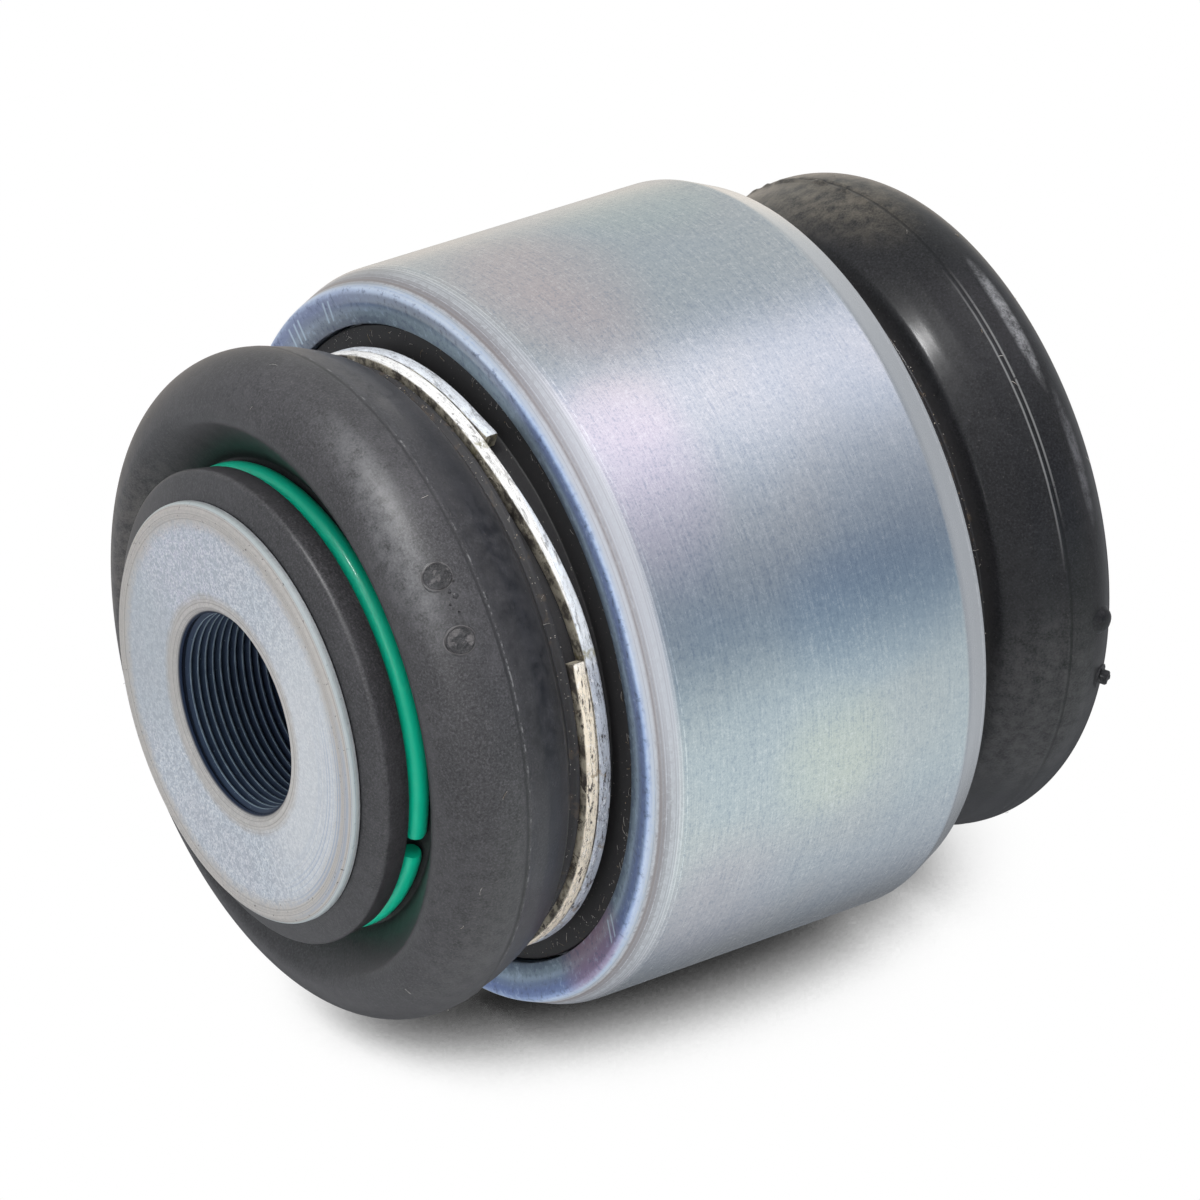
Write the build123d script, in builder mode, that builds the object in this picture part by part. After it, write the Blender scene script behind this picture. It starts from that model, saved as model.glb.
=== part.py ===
"""Sleeve ball joint with rubber boots, of the kind sold as a rubber metal bush.

A steel sleeve with a ball in its middle turns and tilts in a plastic seat inside a round steel housing.
The housing's rear end has its own floor and nose. Its front end is rolled over a separate closing ring with
the same nose. A rubber boot on each nose is held by a coiled flat wire ring, and its collar is held in the
sleeve's neck groove by an open round ring. The rear boot and its rings are the front ones turned end for end.

Frame: millimetres, the origin at the ball's centre, +Z along the sleeve towards the rolled lip.
The joint stands on the rear end face of its sleeve. Profiles are drawn as radius across and Z up.
"""
import os
from math import acos, atan2, cos, degrees, hypot, pi, radians, sin, sqrt

from build123d import *

os.makedirs("parts", exist_ok=True)

# Clearances
ball_play = 0.06
neck_play = 0.06
seating_gap = 0.03
ring_play = 0.04
coil_clearance = 0.15
opening_clearance = 0.38

# Housing, from the outside inwards
housing_r = 22.0
housing_wall = 2.8
closing_wall = 1.8
lip_overhang = 1.2
edge_rounding = 0.8
lip_rounding = 0.4

# Housing, along Z from the ball's centre to each end
lip_taper_z = 9.8
lip_taper_height = 2.0
lip_taper_depth = 0.8
lip_height = 1.55
lip_thickness = 1.0
rear_rim_height = 1.3
rear_taper_height = 1.85
rear_taper_depth = 0.8
rear_floor_thickness = 1.9

# Seat, closing ring and the noses that carry the boots
seat_wall = 2.7
closing_ring_thickness = 2.1
nose_wall = 1.2
nose_height = 3.7

# Ball sleeve
sleeve_half = 25.75
neck_swing = 3.5
neck_fillet = 1.0
end_bead_height = 1.2
end_bead_width = 0.75
end_chamfer = 0.35
thread_crest_r = 5.73
mouth_flare = 0.72
mouth_depth = 0.4

# Boots, from the bead on the nose to the collar on the neck
boot_wall = 1.3
bead_wall = 0.8
flange_thickness = 0.7
flange_gap = 0.1
groove_rim = 0.75
groove_rim_width = 0.3
shoulder_rise = 1.35
shoulder_height = 2.4
shoulder_undercut = 1.1
shoulder_rounding = 1.2
bulge_rise = 0.65
bulge_inset = 2.3
bulge_lead = 0.79
bulge_crest_gap = 2.6
bulge_crest_rounding = 1.0
bulge_foot = 0.19
collar_wall = 2.85
collar_edge_width = 1.7
collar_lip_width = 0.62
collar_draft = 0.29
collar_undercut = 0.21
flash_drop = 0.94
flash_height = 0.12
flash_width = 0.14

# Coiled flat wire rings, with angles about Z from +X
wire_width = 0.82
wire_height = 1.1
coil_gap = 0.03
coil_room = 0.79
coil_start_angle = -46.1
coil_end_angle = -91.5
step_sections = 6

# Open round rings on the collars
neck_ring_wire_r = 0.65
neck_ring_depth = 0.3
neck_ring_gap = 6.0
neck_ring_gap_angle = -130.2

# Radii that follow from the walls
seat_r = housing_r - housing_wall
closing_ring_r = housing_r - closing_wall
lip_mouth_r = closing_ring_r - lip_overhang
lip_face_r = housing_r - lip_taper_depth
ball_r = seat_r - seat_wall

# Heights that follow along Z
lip_face_z = lip_taper_z + lip_taper_height
lip_end = lip_taper_z + lip_height
lip_root = lip_end - lip_thickness
boot_floor = lip_root - seating_gap
nose_end = boot_floor + nose_height
seat_front = boot_floor - closing_ring_thickness
seat_rear = boot_floor - rear_floor_thickness
rear_end = boot_floor + rear_rim_height

# The openings clear the ball where it is widest in them, and the necks have room to swing in them
ball_opening_r = sqrt(ball_r**2 - seat_front**2) + opening_clearance
nose_r = ball_opening_r + nose_wall
neck_r = ball_opening_r - neck_swing
end_bead_r = neck_r + end_bead_height
mouth_r = thread_crest_r + mouth_flare


def radial_plane(angle):
    """A plane through Z at an angle from +X, with its own axes along the radius and up."""
    turn = radians(angle)
    return Plane(origin=(0, 0, 0), x_dir=(cos(turn), sin(turn), 0), z_dir=(sin(turn), -cos(turn), 0))


# The ball, both necks and the end beads are one turned piece
with BuildPart() as ball_sleeve:
    with BuildSketch(Plane.XZ):
        with BuildLine():
            Polyline(
                (0, -sleeve_half),
                (end_bead_r, -sleeve_half),
                (end_bead_r, end_bead_width - sleeve_half),
                (neck_r, end_bead_width - sleeve_half),
                (neck_r, sleeve_half - end_bead_width),
                (end_bead_r, sleeve_half - end_bead_width),
                (end_bead_r, sleeve_half),
                (0, sleeve_half),
                close=True,
            )
        make_face()
    revolve(axis=Axis.Z)
    Sphere(ball_r)
    neck_roots = ball_sleeve.edges().filter_by(GeomType.CIRCLE).filter_by(
        lambda edge: abs(edge.radius - neck_r) < 1e-3 and abs(edge.center().Z) < ball_r
    )
    fillet(neck_roots, neck_fillet)
    end_faces = ball_sleeve.faces().filter_by(Axis.Z).sort_by(Axis.Z)
    chamfer(end_faces[0].edges() + end_faces[-1].edges(), end_chamfer)
    with BuildSketch(Plane.XZ):
        with BuildLine():
            Polyline(
                (0, -sleeve_half),
                (mouth_r, -sleeve_half),
                (thread_crest_r, mouth_depth - sleeve_half),
                (thread_crest_r, sleeve_half - mouth_depth),
                (mouth_r, sleeve_half),
                (0, sleeve_half),
                close=True,
            )
        make_face()
    revolve(axis=Axis.Z, mode=Mode.SUBTRACT)
ball_sleeve.part.label = "ball_sleeve"

# The housing has a floor and nose at its rear, and a lip rolled inwards at its front
with BuildPart() as housing:
    with BuildSketch(Plane.XZ):
        with BuildLine():
            Polyline(
                (housing_r, rear_taper_height - rear_end),
                (housing_r, lip_taper_z),
                (lip_face_r, lip_face_z),
                (lip_mouth_r, lip_end),
                (lip_mouth_r, lip_root),
                (closing_ring_r, lip_root - lip_overhang),
                (closing_ring_r, seat_front),
                (seat_r, seat_front),
                (seat_r, -seat_rear),
                (ball_opening_r, -seat_rear),
                (ball_opening_r, -nose_end),
                (nose_r, -nose_end),
                (nose_r, -boot_floor),
                (lip_mouth_r, -boot_floor),
                (lip_mouth_r, -rear_end),
                (housing_r - rear_taper_depth, -rear_end),
                close=True,
            )
        profile = make_face()
        fillet(profile.vertices().filter_by(lambda corner: corner.X > housing_r - 1e-6), edge_rounding)
        fillet(profile.vertices().sort_by_distance((lip_face_r, lip_face_z, 0))[0], lip_rounding)
    revolve(axis=Axis.Z)
housing.part.label = "housing"

# The closing ring is held under the lip by its bevel, and carries the front nose
with BuildPart() as closing_ring:
    with BuildSketch(Plane.XZ):
        with BuildLine():
            Polyline(
                (ball_opening_r, seat_front + seating_gap),
                (closing_ring_r - seating_gap, seat_front + seating_gap),
                (closing_ring_r - seating_gap, boot_floor - lip_overhang),
                (lip_mouth_r - seating_gap, boot_floor),
                (nose_r, boot_floor),
                (nose_r, nose_end),
                (ball_opening_r, nose_end),
                close=True,
            )
        make_face()
    revolve(axis=Axis.Z)
closing_ring.part.label = "closing_ring"

# The seat wraps the ball past its middle on both sides
with BuildPart() as ball_seat:
    with BuildSketch(Plane.XY.offset(seating_gap - seat_rear)):
        Circle(seat_r - seating_gap)
    extrude(amount=seat_rear + seat_front - 2 * seating_gap)
    Sphere(ball_r + ball_play, mode=Mode.SUBTRACT)
ball_seat.part.label = "ball_seat"

# The wire coil's two turns lie side by side on the boot's bead, next to its shoulder
coil_pitch = wire_width + coil_gap
flange_start = boot_floor + seating_gap
flange_end = flange_start + flange_thickness
groove_r = nose_r + bead_wall
groove_end = flange_end + coil_room + coil_pitch + wire_width + coil_clearance

# The collar's stations run back from the end bead, and the neck ring sits in the collar's groove
collar_end = sleeve_half - end_bead_width - seating_gap
collar_edge_end = collar_end - collar_lip_width
collar_edge_start = collar_edge_end - collar_edge_width
ring_groove_end = collar_edge_start - collar_undercut
collar_bore = neck_r + neck_play
collar_r = neck_r + collar_wall
ring_groove_r = collar_r - neck_ring_depth - 2 * neck_ring_wire_r
ring_groove_start = ring_groove_end - 2 * neck_ring_wire_r - 2 * ring_play
collar_foot = ring_groove_start - boot_wall
bulge_foot_r = collar_r - bulge_foot

# The bulge fills the height between shoulder and collar, and starts where a line from the shoulder meets it
shoulder_r = nose_r + shoulder_height
shoulder_z = groove_end + shoulder_rise
bulge_bottom = shoulder_z + bulge_rise
bulge_top = ring_groove_end + bulge_lead
bulge_r = (bulge_top - bulge_bottom) / 2
bulge_centre = (shoulder_r - bulge_inset, (bulge_top + bulge_bottom) / 2)
shoulder_reach = hypot(bulge_inset, bulge_centre[1] - shoulder_z)
shoulder_angle = degrees(atan2(shoulder_z - bulge_centre[1], bulge_inset))
bulge_start_angle = shoulder_angle + degrees(acos(bulge_r / shoulder_reach))
bulge_crest_angle = degrees(acos((collar_r + bulge_crest_gap - bulge_centre[0]) / bulge_r))
bulge_sweep = bulge_crest_angle - bulge_start_angle
flash_r = bulge_centre[0] + sqrt(bulge_r**2 - flash_drop**2)

with BuildPart() as front_boot:
    with BuildSketch(Plane.XZ):
        with BuildLine():
            outside = CenterArc(bulge_centre, bulge_r, bulge_start_angle, bulge_sweep)
            inside = CenterArc(bulge_centre, bulge_r - boot_wall, bulge_start_angle, bulge_sweep)
            Polyline(
                inside @ 0,
                (shoulder_r - boot_wall, shoulder_z),
                (nose_r + seating_gap, nose_end),
                (nose_r + seating_gap, flange_start),
                (lip_mouth_r - flange_gap, flange_start),
                (lip_mouth_r - flange_gap, flange_end),
                (groove_r, flange_end),
                (groove_r, groove_end),
                (groove_r + groove_rim, groove_end),
                (groove_r + groove_rim, groove_end + groove_rim_width),
                (shoulder_r - shoulder_undercut, groove_end + 2 * groove_rim_width),
                (shoulder_r, shoulder_z),
                outside @ 0,
            )
            Polyline(
                outside @ 1,
                (bulge_foot_r, ring_groove_start),
                (ring_groove_r, ring_groove_start),
                (ring_groove_r, ring_groove_end),
                (collar_r - collar_draft, collar_edge_start),
                (collar_r, collar_edge_end),
                (end_bead_r, collar_end),
                (collar_bore, collar_end),
                (collar_bore, collar_foot),
                (bulge_foot_r, collar_foot),
                inside @ 1,
            )
        profile = make_face()
        fillet(profile.vertices().sort_by_distance((shoulder_r, shoulder_z, 0))[0], shoulder_rounding)
        fillet(profile.vertices().sort_by_distance(outside @ 1)[0], bulge_crest_rounding)
    revolve(axis=Axis.Z)
    with BuildSketch(Plane.XZ):
        with Locations((flash_r, bulge_centre[1] - flash_drop)):
            Rectangle(2 * flash_height, flash_width)
    revolve(axis=Axis.Z)
front_boot.part.label = "front_boot"

# The wire ring is flat wire in two flat turns, and steps from one to the other between its ends
coil_mid_r = groove_r + ring_play + wire_height / 2
front_turn_z = groove_end - coil_clearance - wire_width / 2
back_turn_z = front_turn_z - coil_pitch
step_angle = coil_start_angle - coil_end_angle
with BuildPart() as front_outer_ring:
    for turn_z in (back_turn_z, front_turn_z):
        with BuildSketch(radial_plane(coil_start_angle)):
            with Locations((coil_mid_r, turn_z)):
                Rectangle(wire_height, wire_width)
        revolve(axis=Axis.Z, revolution_arc=360 - step_angle)
    for section in range(step_sections + 1):
        share = section / step_sections
        eased = (1 - cos(pi * share)) / 2
        with BuildSketch(radial_plane(coil_end_angle + share * step_angle)):
            with Locations((coil_mid_r, back_turn_z + eased * coil_pitch)):
                Rectangle(wire_height, wire_width)
    loft()
front_outer_ring.part.label = "front_outer_ring"

# The neck ring is round wire, bent to a circle with a small gap
neck_ring_r = ring_groove_r + ring_play + neck_ring_wire_r
neck_ring_z = ring_groove_end - ring_play - neck_ring_wire_r
with BuildPart() as front_neck_ring:
    with BuildSketch(radial_plane(neck_ring_gap_angle + neck_ring_gap / 2)):
        with Locations((neck_ring_r, neck_ring_z)):
            Circle(neck_ring_wire_r)
    revolve(axis=Axis.Z, revolution_arc=360 - neck_ring_gap)
front_neck_ring.part.label = "front_neck_ring"

# The rear boot and its two rings are the front ones turned end for end
end_for_end = (180, 0, 0)
with BuildPart() as rear_boot:
    add(front_boot.part, rotation=end_for_end)
rear_boot.part.label = "rear_boot"
with BuildPart() as rear_outer_ring:
    add(front_outer_ring.part, rotation=end_for_end)
rear_outer_ring.part.label = "rear_outer_ring"
with BuildPart() as rear_neck_ring:
    add(front_neck_ring.part, rotation=end_for_end)
rear_neck_ring.part.label = "rear_neck_ring"

pieces = [
    housing,
    closing_ring,
    ball_seat,
    ball_sleeve,
    front_boot,
    rear_boot,
    front_outer_ring,
    rear_outer_ring,
    front_neck_ring,
    rear_neck_ring,
]
for piece in pieces:
    export_step(piece.part, f"parts/{piece.part.label}.step")
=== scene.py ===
"""Dresses a packed sleeve ball joint bush: turned steel, moulded rubber boots, coated wire rings, and a pale studio.

Profiles are lists of (radius, height) in millimetres about the sleeve's axis, which is Z. Height 0 is the ball's
centre, and +Z is the end where the housing's lip is rolled in. Meshes are stored in metres, as the frame is.
"""

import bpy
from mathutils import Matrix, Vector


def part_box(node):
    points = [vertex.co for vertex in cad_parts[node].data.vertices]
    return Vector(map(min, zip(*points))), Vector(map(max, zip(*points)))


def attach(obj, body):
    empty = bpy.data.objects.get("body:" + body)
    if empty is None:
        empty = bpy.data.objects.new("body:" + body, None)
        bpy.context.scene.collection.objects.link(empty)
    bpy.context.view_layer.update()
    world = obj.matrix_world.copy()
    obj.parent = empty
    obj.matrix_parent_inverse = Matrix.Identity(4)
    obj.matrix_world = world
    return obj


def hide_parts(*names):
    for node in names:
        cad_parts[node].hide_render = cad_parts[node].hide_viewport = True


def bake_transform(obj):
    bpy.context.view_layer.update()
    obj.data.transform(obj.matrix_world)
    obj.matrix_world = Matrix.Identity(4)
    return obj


bl_info = {
    "name": "Ball joint bush looks",
    "version": (1, 0, 0),
    "blender": (4, 5, 0),
    "location": "View3D > Sidebar > Bush",
    "description": "Builds the visible pieces, finishes and studio of a sleeve ball joint bush",
    "category": "Object",
}

from math import acos, ceil, cos, degrees, hypot, pi, radians, sin, tan

import bmesh
import bpy
import numpy as np
from mathutils import Matrix, Vector

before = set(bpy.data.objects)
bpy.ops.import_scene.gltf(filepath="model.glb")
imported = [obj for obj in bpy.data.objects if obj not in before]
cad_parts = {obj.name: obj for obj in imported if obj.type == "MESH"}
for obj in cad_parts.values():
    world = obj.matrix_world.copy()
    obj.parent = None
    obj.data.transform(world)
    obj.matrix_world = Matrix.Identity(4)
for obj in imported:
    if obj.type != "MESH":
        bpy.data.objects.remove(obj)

MM = 0.001
GLOSSY = "glossy rubber and paint"
PARTING = 18.5  # height of the boots' parting line, in millimetres


# Shader graphs


class Field:
    """A socket of a shader graph, so that shader maths reads as arithmetic."""

    def __init__(self, graph, socket):
        self.graph = graph
        self.socket = socket

    def output(self, name):
        return Field(self.graph, self.socket.node.outputs[name])

    def __add__(self, other):
        return self.graph.maths("ADD", self, other)

    def __radd__(self, other):
        return self.graph.maths("ADD", other, self)

    def __sub__(self, other):
        return self.graph.maths("SUBTRACT", self, other)

    def __rsub__(self, other):
        return self.graph.maths("SUBTRACT", other, self)

    def __mul__(self, other):
        return self.graph.maths("MULTIPLY", self, other)

    def __rmul__(self, other):
        return self.graph.maths("MULTIPLY", other, self)

    def __truediv__(self, other):
        return self.graph.maths("DIVIDE", self, other)

    def __pow__(self, other):
        return self.graph.maths("POWER", self, other)


class Graph:
    """Adds nodes to a shader tree, each through one method."""

    def __init__(self, tree):
        self.tree = tree
        tree.nodes.clear()

    def add(self, kind, settings, inputs, output=0):
        """Adds a node, makes its settings, then gives its sockets their values or links."""
        node = self.tree.nodes.new("ShaderNode" + kind)
        for name, value in settings.items():
            if name == "stops":
                ramp = node.color_ramp
                while len(ramp.elements) < len(value):
                    ramp.elements.new(0.5)
                for element, (position, colour) in zip(ramp.elements, value):
                    element.position = position
                    element.color = (*colour, 1.0)
            elif name == "ease":
                node.color_ramp.interpolation = value
            else:
                setattr(node, name, value)
        for name, value in inputs.items():
            if isinstance(value, Field):
                self.tree.links.new(value.socket, node.inputs[name])
            else:
                node.inputs[name].default_value = value
        return Field(self, node.outputs[output]) if node.outputs else node

    def maths(self, operation, a, b):
        return self.add("Math", {"operation": operation}, {0: a, 1: b})

    def vector(self, operation, a, b, output=0):
        return self.add("VectorMath", {"operation": operation}, {0: a, 1: b}, output)

    def combine(self, x, y, z):
        return self.add("CombineXYZ", {}, {0: x, 1: y, 2: z})

    def ease(self, value, low, high):
        """0 below low and 1 above high, with a smooth change between them. low may be above high."""
        return self.add(
            "MapRange",
            {"interpolation_type": "SMOOTHSTEP"},
            {"Value": value, "From Min": low, "From Max": high, "To Min": 0.0, "To Max": 1.0},
        )

    def band(self, value, low, high, edge):
        """1 between low and high, falling to 0 over the width of the edge."""
        return self.ease(value, low - edge, low) * self.ease(value, high + edge, high)

    def colours(self, share, a, b):
        """Mixes colour a towards colour b."""
        return self.add(
            "Mix",
            {"data_type": "RGBA"},
            {0: share, 6: a if isinstance(a, Field) else (*a, 1.0), 7: b if isinstance(b, Field) else (*b, 1.0)},
            2,
        )

    def layers(self, shade, *layers):
        """Lays colours over a shade one after the other, each given as (share, colour)."""
        for share, colour_over in layers:
            shade = self.colours(share, shade, colour_over)
        return shade

    def most(self, first, *others):
        """The largest of some values."""
        for other in others:
            first = self.maths("MAXIMUM", first, other)
        return first

    def ramp(self, value, stops, ease="EASE"):
        return self.add("ValToRGB", {"stops": stops, "ease": ease}, {0: value})


class Finish(Graph):
    """The finish of one of the joint's pieces, with places in millimetres about the sleeve's axis."""

    def __init__(self, name):
        self.material = bpy.data.materials.new(name)
        self.material.use_nodes = True
        super().__init__(self.material.node_tree)
        metres = self.add("TexCoord", {}, {}, "Object")
        self.place = self.add("VectorMath", {"operation": "SCALE"}, {0: metres, "Scale": 1000.0})
        self.x = self.add("SeparateXYZ", {}, {0: self.place})
        self.y = self.x.output("Y")
        self.z = self.x.output("Z")
        self.radius = (self.x * self.x + self.y * self.y) ** 0.5
        self.angle = self.maths("ARCTAN2", self.y, self.x) * degrees(1.0)
        self.height = self.maths("ABSOLUTE", self.z, 0.0)

    def noise(self, scale, detail=2.0, roughness=0.5, stretch=(1.0, 1.0, 1.0), start=(0.0, 0.0, 0.0)):
        """Soft noise, with scale features in a millimetre."""
        factors = tuple(scale * share for share in stretch)
        where = self.vector("ADD", self.vector("MULTIPLY", self.place, factors), start)
        return self.add("TexNoise", {}, {"Vector": where, "Scale": 1.0, "Detail": detail, "Roughness": roughness})

    def turning(self, lines, start=0.0):
        """Marks left by a turning tool: unbroken rings about the axis, with so many lines in a millimetre."""
        where = self.combine(self.radius * lines, self.z * lines, start)
        return self.add("TexNoise", {}, {"Vector": where, "Scale": 1.0, "Detail": 3.0, "Roughness": 0.6})

    def spot(self, angle, height, width, length):
        """A soft patch on the side, placed by its angle about the axis and its height."""
        across = (self.angle - angle) / width
        along = (self.z - height) / length
        return self.ease(across * across + along * along, 1.0, 0.0)

    def close(self, colour, roughness, metallic=0.0, height=None, **constants):
        """Ends the finish in a shader. height is the relief in millimetres."""
        inputs = {
            "Base Color": colour if isinstance(colour, Field) else (*colour, 1.0),
            "Roughness": roughness,
            "Metallic": metallic,
        }
        inputs.update({name.replace("_", " "): value for name, value in constants.items()})
        if height is not None:
            inputs["Normal"] = self.add("Bump", {}, {"Strength": 1.0, "Distance": MM, "Height": height})
        shader = self.add("BsdfPrincipled", {}, inputs)
        self.add("OutputMaterial", {}, {"Surface": shader})
        return self.material


# Meshes


def eased(corners, steps=4):
    """A closed profile from corners of (radius, height, rounding), with each rounding drawn as an arc."""
    points = []
    for index, (r, z, rounding) in enumerate(corners):
        if rounding == 0:
            points.append((r, z))
            continue
        corner = Vector((r, z))
        before = Vector(corners[index - 1][:2]) - corner
        after = Vector(corners[(index + 1) % len(corners)][:2]) - corner
        half = before.angle(after) / 2
        reach = min(rounding / tan(half), 0.48 * before.length, 0.48 * after.length)
        first = corner + before.normalized() * reach
        last = corner + after.normalized() * reach
        centre = corner + (before.normalized() + after.normalized()).normalized() * (reach / cos(half))
        start = first - centre
        turn = start.angle_signed(last - centre)
        for step in range(steps + 1):
            share = turn * step / steps
            points.append(
                (
                    centre.x + start.x * cos(share) + start.y * sin(share),
                    centre.y - start.x * sin(share) + start.y * cos(share),
                )
            )
    return points


def close_set(points, longest):
    """Adds points along a closed profile so that no step is longer than longest."""
    made = []
    for index, (r, z) in enumerate(points):
        next_r, next_z = points[(index + 1) % len(points)]
        pieces = max(1, ceil(hypot(next_r - r, next_z - z) / longest))
        made += [(r + (next_r - r) * n / pieces, z + (next_z - z) * n / pieces) for n in range(pieces)]
    return made


def arc(centre, radius, start, end, steps):
    """Points along an arc in a profile, with angles in degrees."""
    angles = [radians(start + (end - start) * step / steps) for step in range(steps + 1)]
    return [(centre[0] + radius * cos(a), centre[1] + radius * sin(a)) for a in angles]


def piece_from(name, points, faces, sharp=35.0):
    """A smooth-shaded object from points in millimetres, with its steep edges kept sharp."""
    mesh = bpy.data.meshes.new(name)
    mesh.from_pydata((np.asarray(points) * MM).tolist(), [], faces)
    tidy = bmesh.new()
    tidy.from_mesh(mesh)
    bmesh.ops.recalc_face_normals(tidy, faces=tidy.faces)
    tidy.to_mesh(mesh)
    tidy.free()
    mesh.shade_smooth()
    mesh.set_sharp_from_angle(angle=radians(sharp))
    piece = bpy.data.objects.new(name, mesh)
    bpy.context.scene.collection.objects.link(piece)
    return piece


def quads(rows, count, joined=False):
    """Faces between neighbouring rows of count points. joined closes the last row to the first one."""
    return [
        (
            i * count + j,
            (i + 1) % rows * count + j,
            (i + 1) % rows * count + (j + 1) % count,
            i * count + (j + 1) % count,
        )
        for i in range(rows if joined else rows - 1)
        for j in range(count)
    ]


def turned(name, profile, steps=256, shape=None, sharp=35.0):
    """A closed body turned about Z. shape(angles, radii, heights) may make it less than perfectly round."""
    angles = np.linspace(0, 2 * pi, steps, endpoint=False)[:, None]
    radii, heights = np.broadcast_arrays(*(np.array(v)[None, :] + 0 * angles for v in zip(*profile)))
    if shape:
        radii, heights = shape(angles, radii.copy(), heights.copy())
    points = np.stack([radii * np.cos(angles), radii * np.sin(angles), heights], -1).reshape(-1, 3)
    return piece_from(name, points, quads(steps, len(profile), True), sharp)


def swept(name, sections, sharp=35.0):
    """A closed bar through a row of sections of equal length, with flat ends. Each section is a list of points."""
    sections = np.asarray(sections)
    rows, count = sections.shape[:2]
    faces = [*quads(rows, count), tuple(range(count)), tuple(range((rows - 1) * count, rows * count))]
    return piece_from(name, sections.reshape(-1, 3), faces, sharp)


def around(angle, radius, height):
    """A point by its angle in degrees, radius and height."""
    return (radius * cos(radians(angle)), radius * sin(radians(angle)), height)


def turned_over(piece):
    """Turns a front piece end for end about X, for the rear."""
    piece.data.transform(Matrix.Rotation(pi, 4, "X"))
    return piece


def dressed(piece, body, material, slot, *nodes):
    """Gives a piece its finish and its body, puts glossy slots among the pieces that the glint and strip light, and
    hides the CAD nodes that it stands for. A body that is not a name is not used: the piece stays where it is.
    """
    piece.data.materials.append(material)
    if isinstance(body, str):
        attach(piece, body)
    else:
        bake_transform(piece)
    if slot in ("boot_rubber", "neck_ring_coating"):
        bpy.data.collections[GLOSSY].objects.link(piece)
    if nodes:
        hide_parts(*nodes)
    return piece


# Sizes and colours


def size(name, description, millimetres):
    return bpy.props.FloatProperty(
        name=name, description=description, default=millimetres * MM, unit="LENGTH", precision=5
    )


def colour(name, description, value):
    return bpy.props.FloatVectorProperty(
        name=name, description=description, default=value, subtype="COLOR", size=3, min=0, max=1
    )


def amount(name, description, value, most=1.0):
    return bpy.props.FloatProperty(
        name=name, description=description, default=value, min=0, max=most, subtype="FACTOR"
    )


def power(name, description, watts):
    return bpy.props.FloatProperty(name=name, description=description, default=watts, unit="POWER", min=0)


class SleeveSettings(bpy.types.PropertyGroup):
    """The threaded ball sleeve."""

    pitch: size("Thread pitch", "Distance between the thread's crests", 0.5)
    crest: size("Crest radius", "Radius of the thread's crests", 5.73)
    root: size("Root radius", "Radius of the thread's roots", 6.0)
    neck: size("Neck radius", "Radius of the sleeve beside the ball", 11.19)
    steel: colour("Steel", "The plated face and neck", (0.66, 0.70, 0.75))
    rim: colour("Rim", "The tan edge of the face and of the bore", (0.60, 0.55, 0.49))
    bore: colour("Bore", "The dark blue inside the bore", (0.022, 0.034, 0.065))


class HousingSettings(bpy.types.PropertyGroup):
    """The turned housing."""

    radius: size("Radius", "Outside radius of the housing", 22.0)
    steel: colour("Steel", "The plated outside", (0.61, 0.66, 0.71))
    lip: colour("Lip", "The blue of the rolled lip", (0.21, 0.29, 0.54))
    brushing: amount("Brushing", "Strength of the turning marks", 0.5)


class BootSettings(bpy.types.PropertyGroup):
    """The rubber boots."""

    bulge: size("Bulge radius", "Radius of the bulge's section", 3.785)
    wall: size("Wall", "Thickness of the rubber", 1.3)
    rubber: colour("Front rubber", "The grey-black of the front boot", (0.030, 0.029, 0.031))
    rear_rubber: colour("Rear rubber", "The deeper black of the rear boot", (0.009, 0.009, 0.010))
    dust: colour("Dust", "The dust on the rubber", (0.32, 0.30, 0.26))
    dustiness: amount("Dustiness", "How much dust lies on the front boot", 0.5)


class WireSettings(bpy.types.PropertyGroup):
    """The coiled wire rings and the open neck rings."""

    width: size("Wire width", "Width of the flat wire along the axis", 0.82)
    height: size("Wire height", "Height of the flat wire away from the axis", 1.1)
    coating: colour("Coating", "The pale coating of the flat wire", (0.74, 0.73, 0.71))
    bare: colour("Bare wire", "The steel under the coating", (0.40, 0.43, 0.48))
    neck_wire: size("Neck wire radius", "Radius of the round wire on the collar", 0.65)
    green: colour("Green", "The green of the round wire", (0.003, 0.62, 0.37))


class StageSettings(bpy.types.PropertyGroup):
    """The studio."""

    lens: bpy.props.FloatProperty(
        name="Lens", description="Focal length of the camera", default=286.8, unit="CAMERA", min=20
    )
    floor: colour("Floor", "The pale floor and its back wall", (0.90, 0.90, 0.90))
    exposure: amount("Floor brightness", "Brightness of the open floor, which fades under the joint", 1.0, 3.0)
    key: power("Key power", "Power of the broad light", 2.2)
    glint: power("Glint power", "Power of the small light in the rubber's gloss", 2.0)


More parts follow.
